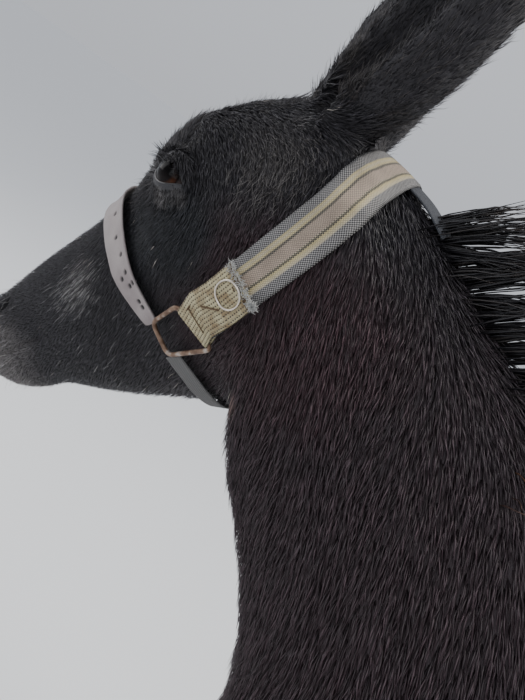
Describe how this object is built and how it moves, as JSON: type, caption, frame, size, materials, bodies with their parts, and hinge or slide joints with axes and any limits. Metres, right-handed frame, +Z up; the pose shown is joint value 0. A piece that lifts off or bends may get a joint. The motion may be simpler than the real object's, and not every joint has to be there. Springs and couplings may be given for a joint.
{
  "type": "donkey",
  "caption": "Life-size standing donkey with a dark shaggy coat, large ears and short mane, wearing a halter of striped webbing, a leather noseband and wire side rings.",
  "frame": {"origin": "middle of the footprint of the whole animal, on the plane of the hoof soles", "axes": "+Z up; the animal faces -Y; its left side is +X"},
  "size_m": [0.4116, 1.6996, 1.4639],
  "materials": {
    "coat": "short to shaggy dark brown-black hair",
    "mane_hair": "long black hair",
    "tail_hair": "dark hair",
    "eye": "wet dark brown",
    "hoof_horn": "horn, dull",
    "webbing": "woven, striped, worn",
    "noseband": "worn, pinkish grey",
    "chin_webbing": "woven, worn",
    "crown_tail": "narrow dark strap",
    "wire": "rusty"
  },
  "bodies": {
    "root": {"eye_left": "eye", "eye_right": "eye", "ear_left": "coat", "ear_right": "coat", "head": "coat", "neck": "coat", "trunk": "coat", "front_left_forearm": "coat", "front_left_cannon": "coat", "front_left_hoof": "hoof_horn", "front_right_forearm": "coat", "front_right_cannon": "coat", "front_right_hoof": "hoof_horn", "hind_left_gaskin": "coat", "hind_left_cannon": "coat", "hind_left_hoof": "hoof_horn", "hind_right_gaskin": "coat", "hind_right_cannon": "coat", "hind_right_hoof": "hoof_horn", "tail": "tail_hair", "mane": "mane_hair", "halter_crown_strap": "webbing", "halter_strap_end_left": "webbing", "halter_strap_end_right": "webbing", "halter_noseband": "noseband", "halter_chin_strap": "chin_webbing", "halter_crown_tail": "crown_tail", "halter_wire_circle": "wire", "halter_ring_left": "wire", "halter_ring_right": "wire"}
  },
  "joints": []
}
